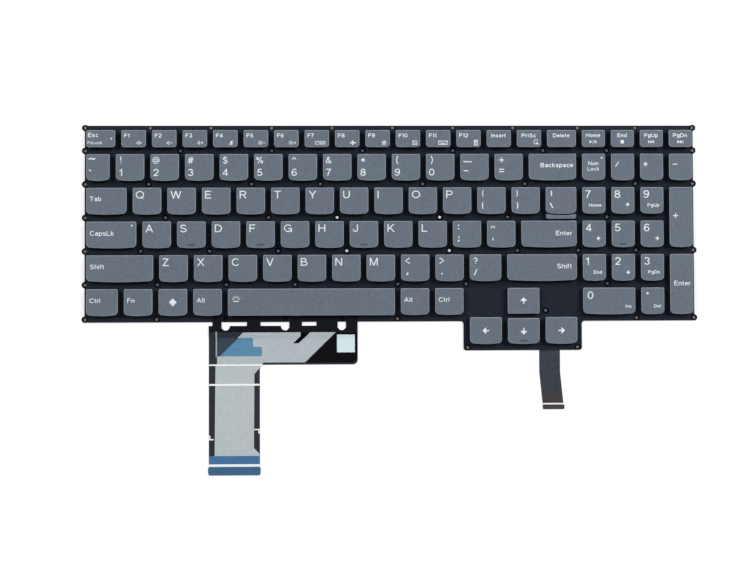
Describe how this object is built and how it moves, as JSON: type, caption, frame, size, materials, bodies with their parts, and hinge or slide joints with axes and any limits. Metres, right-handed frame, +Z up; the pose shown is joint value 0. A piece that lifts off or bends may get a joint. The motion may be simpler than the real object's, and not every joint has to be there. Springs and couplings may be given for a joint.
{
  "type": "laptop keyboard module",
  "caption": "Thin laptop keyboard module: sprung keys with bowed front edges over a printed film, a staked metal base, a backlight panel and two flat tails.",
  "frame": {"origin": "middle of the underside, on the flat face of the backlight panel", "axes": "+X along the key rows to the right, +Y away from the typist, +Z up out of the caps"},
  "size_m": [0.3328, 0.1885, 0.0049],
  "materials": {
    "key_cap": "fine matte grain, blue-grey",
    "film": "satin black film with a silver trace field on its tail",
    "base_plate": "black painted sheet",
    "tail_stiffener": "blue film",
    "dome": "translucent rubber",
    "scissor": "white moulding",
    "backlight_panel": "white light guide with a reflector",
    "backlight_film": "slate film",
    "backlight_stiffener": "brown film"
  },
  "bodies": {
    "base": {"backlight_panel": "backlight_panel", "backlight_tail": "backlight_film", "backlight_tail_stiffener": "backlight_stiffener", "base_plate": "base_plate", "membrane": "film", "tail_stiffener": "tail_stiffener", "rubber_domes": "dome", "scissor_outer_frames": "scissor", "scissor_inner_frames": "scissor", "function_row_keys": "key_cap", "number_row_keys": "key_cap", "number_pad_keys": "key_cap", "arrow_keys": "key_cap"},
    "key_tab": {"key_tab": "key_cap"},
    "key_q": {"key_q": "key_cap"},
    "key_w": {"key_w": "key_cap"},
    "key_e": {"key_e": "key_cap"},
    "key_r": {"key_r": "key_cap"},
    "key_t": {"key_t": "key_cap"},
    "key_y": {"key_y": "key_cap"},
    "key_u": {"key_u": "key_cap"},
    "key_i": {"key_i": "key_cap"},
    "key_o": {"key_o": "key_cap"},
    "key_p": {"key_p": "key_cap"},
    "key_left_bracket": {"key_left_bracket": "key_cap"},
    "key_right_bracket": {"key_right_bracket": "key_cap"},
    "key_backslash": {"key_backslash": "key_cap"},
    "key_caps_lock": {"key_caps_lock": "key_cap"},
    "key_a": {"key_a": "key_cap"},
    "key_s": {"key_s": "key_cap"},
    "key_d": {"key_d": "key_cap"},
    "key_f": {"key_f": "key_cap"},
    "key_g": {"key_g": "key_cap"},
    "key_h": {"key_h": "key_cap"},
    "key_j": {"key_j": "key_cap"},
    "key_k": {"key_k": "key_cap"},
    "key_l": {"key_l": "key_cap"},
    "key_semicolon": {"key_semicolon": "key_cap"},
    "key_quote": {"key_quote": "key_cap"},
    "key_enter": {"key_enter": "key_cap"},
    "key_left_shift": {"key_left_shift": "key_cap"},
    "key_z": {"key_z": "key_cap"},
    "key_x": {"key_x": "key_cap"},
    "key_c": {"key_c": "key_cap"},
    "key_v": {"key_v": "key_cap"},
    "key_b": {"key_b": "key_cap"},
    "key_n": {"key_n": "key_cap"},
    "key_m": {"key_m": "key_cap"},
    "key_comma": {"key_comma": "key_cap"},
    "key_period": {"key_period": "key_cap"},
    "key_slash": {"key_slash": "key_cap"},
    "key_right_shift": {"key_right_shift": "key_cap"},
    "key_left_control": {"key_left_control": "key_cap"},
    "key_function": {"key_function": "key_cap"},
    "key_system": {"key_system": "key_cap"},
    "key_left_alt": {"key_left_alt": "key_cap"},
    "key_space": {"key_space": "key_cap"},
    "key_right_alt": {"key_right_alt": "key_cap"},
    "key_right_control": {"key_right_control": "key_cap"}
  },
  "joints": [
    {"name": "press_tab", "type": "slide", "parent": "base", "child": "key_tab", "axis": [0, 0, -1], "range_m": [0, 0.0015], "stiffness_N_per_m": 300, "springref_m": -0.0006, "deforming": ["rubber_domes", "scissor_outer_frames", "scissor_inner_frames"]},
    {"name": "press_q", "type": "slide", "parent": "base", "child": "key_q", "axis": [0, 0, -1], "range_m": [0, 0.0015], "stiffness_N_per_m": 300, "springref_m": -0.0006, "deforming": ["rubber_domes", "scissor_outer_frames", "scissor_inner_frames"]},
    {"name": "press_w", "type": "slide", "parent": "base", "child": "key_w", "axis": [0, 0, -1], "range_m": [0, 0.0015], "stiffness_N_per_m": 300, "springref_m": -0.0006, "deforming": ["rubber_domes", "scissor_outer_frames", "scissor_inner_frames"]},
    {"name": "press_e", "type": "slide", "parent": "base", "child": "key_e", "axis": [0, 0, -1], "range_m": [0, 0.0015], "stiffness_N_per_m": 300, "springref_m": -0.0006, "deforming": ["rubber_domes", "scissor_outer_frames", "scissor_inner_frames"]},
    {"name": "press_r", "type": "slide", "parent": "base", "child": "key_r", "axis": [0, 0, -1], "range_m": [0, 0.0015], "stiffness_N_per_m": 300, "springref_m": -0.0006, "deforming": ["rubber_domes", "scissor_outer_frames", "scissor_inner_frames"]},
    {"name": "press_t", "type": "slide", "parent": "base", "child": "key_t", "axis": [0, 0, -1], "range_m": [0, 0.0015], "stiffness_N_per_m": 300, "springref_m": -0.0006, "deforming": ["rubber_domes", "scissor_outer_frames", "scissor_inner_frames"]},
    {"name": "press_y", "type": "slide", "parent": "base", "child": "key_y", "axis": [0, 0, -1], "range_m": [0, 0.0015], "stiffness_N_per_m": 300, "springref_m": -0.0006, "deforming": ["rubber_domes", "scissor_outer_frames", "scissor_inner_frames"]},
    {"name": "press_u", "type": "slide", "parent": "base", "child": "key_u", "axis": [0, 0, -1], "range_m": [0, 0.0015], "stiffness_N_per_m": 300, "springref_m": -0.0006, "deforming": ["rubber_domes", "scissor_outer_frames", "scissor_inner_frames"]},
    {"name": "press_i", "type": "slide", "parent": "base", "child": "key_i", "axis": [0, 0, -1], "range_m": [0, 0.0015], "stiffness_N_per_m": 300, "springref_m": -0.0006, "deforming": ["rubber_domes", "scissor_outer_frames", "scissor_inner_frames"]},
    {"name": "press_o", "type": "slide", "parent": "base", "child": "key_o", "axis": [0, 0, -1], "range_m": [0, 0.0015], "stiffness_N_per_m": 300, "springref_m": -0.0006, "deforming": ["rubber_domes", "scissor_outer_frames", "scissor_inner_frames"]},
    {"name": "press_p", "type": "slide", "parent": "base", "child": "key_p", "axis": [0, 0, -1], "range_m": [0, 0.0015], "stiffness_N_per_m": 300, "springref_m": -0.0006, "deforming": ["rubber_domes", "scissor_outer_frames", "scissor_inner_frames"]},
    {"name": "press_left_bracket", "type": "slide", "parent": "base", "child": "key_left_bracket", "axis": [0, 0, -1], "range_m": [0, 0.0015], "stiffness_N_per_m": 300, "springref_m": -0.0006, "deforming": ["rubber_domes", "scissor_outer_frames", "scissor_inner_frames"]},
    {"name": "press_right_bracket", "type": "slide", "parent": "base", "child": "key_right_bracket", "axis": [0, 0, -1], "range_m": [0, 0.0015], "stiffness_N_per_m": 300, "springref_m": -0.0006, "deforming": ["rubber_domes", "scissor_outer_frames", "scissor_inner_frames"]},
    {"name": "press_backslash", "type": "slide", "parent": "base", "child": "key_backslash", "axis": [0, 0, -1], "range_m": [0, 0.0015], "stiffness_N_per_m": 300, "springref_m": -0.0006, "deforming": ["rubber_domes", "scissor_outer_frames", "scissor_inner_frames"]},
    {"name": "press_caps_lock", "type": "slide", "parent": "base", "child": "key_caps_lock", "axis": [0, 0, -1], "range_m": [0, 0.0015], "stiffness_N_per_m": 300, "springref_m": -0.0006, "deforming": ["rubber_domes", "scissor_outer_frames", "scissor_inner_frames"]},
    {"name": "press_a", "type": "slide", "parent": "base", "child": "key_a", "axis": [0, 0, -1], "range_m": [0, 0.0015], "stiffness_N_per_m": 300, "springref_m": -0.0006, "deforming": ["rubber_domes", "scissor_outer_frames", "scissor_inner_frames"]},
    {"name": "press_s", "type": "slide", "parent": "base", "child": "key_s", "axis": [0, 0, -1], "range_m": [0, 0.0015], "stiffness_N_per_m": 300, "springref_m": -0.0006, "deforming": ["rubber_domes", "scissor_outer_frames", "scissor_inner_frames"]},
    {"name": "press_d", "type": "slide", "parent": "base", "child": "key_d", "axis": [0, 0, -1], "range_m": [0, 0.0015], "stiffness_N_per_m": 300, "springref_m": -0.0006, "deforming": ["rubber_domes", "scissor_outer_frames", "scissor_inner_frames"]},
    {"name": "press_f", "type": "slide", "parent": "base", "child": "key_f", "axis": [0, 0, -1], "range_m": [0, 0.0015], "stiffness_N_per_m": 300, "springref_m": -0.0006, "deforming": ["rubber_domes", "scissor_outer_frames", "scissor_inner_frames"]},
    {"name": "press_g", "type": "slide", "parent": "base", "child": "key_g", "axis": [0, 0, -1], "range_m": [0, 0.0015], "stiffness_N_per_m": 300, "springref_m": -0.0006, "deforming": ["rubber_domes", "scissor_outer_frames", "scissor_inner_frames"]},
    {"name": "press_h", "type": "slide", "parent": "base", "child": "key_h", "axis": [0, 0, -1], "range_m": [0, 0.0015], "stiffness_N_per_m": 300, "springref_m": -0.0006, "deforming": ["rubber_domes", "scissor_outer_frames", "scissor_inner_frames"]},
    {"name": "press_j", "type": "slide", "parent": "base", "child": "key_j", "axis": [0, 0, -1], "range_m": [0, 0.0015], "stiffness_N_per_m": 300, "springref_m": -0.0006, "deforming": ["rubber_domes", "scissor_outer_frames", "scissor_inner_frames"]},
    {"name": "press_k", "type": "slide", "parent": "base", "child": "key_k", "axis": [0, 0, -1], "range_m": [0, 0.0015], "stiffness_N_per_m": 300, "springref_m": -0.0006, "deforming": ["rubber_domes", "scissor_outer_frames", "scissor_inner_frames"]},
    {"name": "press_l", "type": "slide", "parent": "base", "child": "key_l", "axis": [0, 0, -1], "range_m": [0, 0.0015], "stiffness_N_per_m": 300, "springref_m": -0.0006, "deforming": ["rubber_domes", "scissor_outer_frames", "scissor_inner_frames"]},
    {"name": "press_semicolon", "type": "slide", "parent": "base", "child": "key_semicolon", "axis": [0, 0, -1], "range_m": [0, 0.0015], "stiffness_N_per_m": 300, "springref_m": -0.0006, "deforming": ["rubber_domes", "scissor_outer_frames", "scissor_inner_frames"]},
    {"name": "press_quote", "type": "slide", "parent": "base", "child": "key_quote", "axis": [0, 0, -1], "range_m": [0, 0.0015], "stiffness_N_per_m": 300, "springref_m": -0.0006, "deforming": ["rubber_domes", "scissor_outer_frames", "scissor_inner_frames"]},
    {"name": "press_enter", "type": "slide", "parent": "base", "child": "key_enter", "axis": [0, 0, -1], "range_m": [0, 0.0015], "stiffness_N_per_m": 300, "springref_m": -0.0006, "deforming": ["rubber_domes", "scissor_outer_frames", "scissor_inner_frames"]},
    {"name": "press_left_shift", "type": "slide", "parent": "base", "child": "key_left_shift", "axis": [0, 0, -1], "range_m": [0, 0.0015], "stiffness_N_per_m": 300, "springref_m": -0.0006, "deforming": ["rubber_domes", "scissor_outer_frames", "scissor_inner_frames"]},
    {"name": "press_z", "type": "slide", "parent": "base", "child": "key_z", "axis": [0, 0, -1], "range_m": [0, 0.0015], "stiffness_N_per_m": 300, "springref_m": -0.0006, "deforming": ["rubber_domes", "scissor_outer_frames", "scissor_inner_frames"]},
    {"name": "press_x", "type": "slide", "parent": "base", "child": "key_x", "axis": [0, 0, -1], "range_m": [0, 0.0015], "stiffness_N_per_m": 300, "springref_m": -0.0006, "deforming": ["rubber_domes", "scissor_outer_frames", "scissor_inner_frames"]},
    {"name": "press_c", "type": "slide", "parent": "base", "child": "key_c", "axis": [0, 0, -1], "range_m": [0, 0.0015], "stiffness_N_per_m": 300, "springref_m": -0.0006, "deforming": ["rubber_domes", "scissor_outer_frames", "scissor_inner_frames"]},
    {"name": "press_v", "type": "slide", "parent": "base", "child": "key_v", "axis": [0, 0, -1], "range_m": [0, 0.0015], "stiffness_N_per_m": 300, "springref_m": -0.0006, "deforming": ["rubber_domes", "scissor_outer_frames", "scissor_inner_frames"]},
    {"name": "press_b", "type": "slide", "parent": "base", "child": "key_b", "axis": [0, 0, -1], "range_m": [0, 0.0015], "stiffness_N_per_m": 300, "springref_m": -0.0006, "deforming": ["rubber_domes", "scissor_outer_frames", "scissor_inner_frames"]},
    {"name": "press_n", "type": "slide", "parent": "base", "child": "key_n", "axis": [0, 0, -1], "range_m": [0, 0.0015], "stiffness_N_per_m": 300, "springref_m": -0.0006, "deforming": ["rubber_domes", "scissor_outer_frames", "scissor_inner_frames"]},
    {"name": "press_m", "type": "slide", "parent": "base", "child": "key_m", "axis": [0, 0, -1], "range_m": [0, 0.0015], "stiffness_N_per_m": 300, "springref_m": -0.0006, "deforming": ["rubber_domes", "scissor_outer_frames", "scissor_inner_frames"]},
    {"name": "press_comma", "type": "slide", "parent": "base", "child": "key_comma", "axis": [0, 0, -1], "range_m": [0, 0.0015], "stiffness_N_per_m": 300, "springref_m": -0.0006, "deforming": ["rubber_domes", "scissor_outer_frames", "scissor_inner_frames"]},
    {"name": "press_period", "type": "slide", "parent": "base", "child": "key_period", "axis": [0, 0, -1], "range_m": [0, 0.0015], "stiffness_N_per_m": 300, "springref_m": -0.0006, "deforming": ["rubber_domes", "scissor_outer_frames", "scissor_inner_frames"]},
    {"name": "press_slash", "type": "slide", "parent": "base", "child": "key_slash", "axis": [0, 0, -1], "range_m": [0, 0.0015], "stiffness_N_per_m": 300, "springref_m": -0.0006, "deforming": ["rubber_domes", "scissor_outer_frames", "scissor_inner_frames"]},
    {"name": "press_right_shift", "type": "slide", "parent": "base", "child": "key_right_shift", "axis": [0, 0, -1], "range_m": [0, 0.0015], "stiffness_N_per_m": 300, "springref_m": -0.0006, "deforming": ["rubber_domes", "scissor_outer_frames", "scissor_inner_frames"]},
    {"name": "press_left_control", "type": "slide", "parent": "base", "child": "key_left_control", "axis": [0, 0, -1], "range_m": [0, 0.0015], "stiffness_N_per_m": 300, "springref_m": -0.0006, "deforming": ["rubber_domes", "scissor_outer_frames", "scissor_inner_frames"]},
    {"name": "press_function", "type": "slide", "parent": "base", "child": "key_function", "axis": [0, 0, -1], "range_m": [0, 0.0015], "stiffness_N_per_m": 300, "springref_m": -0.0006, "deforming": ["rubber_domes", "scissor_outer_frames", "scissor_inner_frames"]},
    {"name": "press_system", "type": "slide", "parent": "base", "child": "key_system", "axis": [0, 0, -1], "range_m": [0, 0.0015], "stiffness_N_per_m": 300, "springref_m": -0.0006, "deforming": ["rubber_domes", "scissor_outer_frames", "scissor_inner_frames"]},
    {"name": "press_left_alt", "type": "slide", "parent": "base", "child": "key_left_alt", "axis": [0, 0, -1], "range_m": [0, 0.0015], "stiffness_N_per_m": 300, "springref_m": -0.0006, "deforming": ["rubber_domes", "scissor_outer_frames", "scissor_inner_frames"]},
    {"name": "press_space", "type": "slide", "parent": "base", "child": "key_space", "axis": [0, 0, -1], "range_m": [0, 0.0015], "stiffness_N_per_m": 300, "springref_m": -0.0006, "deforming": ["rubber_domes", "scissor_outer_frames", "scissor_inner_frames"]},
    {"name": "press_right_alt", "type": "slide", "parent": "base", "child": "key_right_alt", "axis": [0, 0, -1], "range_m": [0, 0.0015], "stiffness_N_per_m": 300, "springref_m": -0.0006, "deforming": ["rubber_domes", "scissor_outer_frames", "scissor_inner_frames"]},
    {"name": "press_right_control", "type": "slide", "parent": "base", "child": "key_right_control", "axis": [0, 0, -1], "range_m": [0, 0.0015], "stiffness_N_per_m": 300, "springref_m": -0.0006, "deforming": ["rubber_domes", "scissor_outer_frames", "scissor_inner_frames"]}
  ]
}
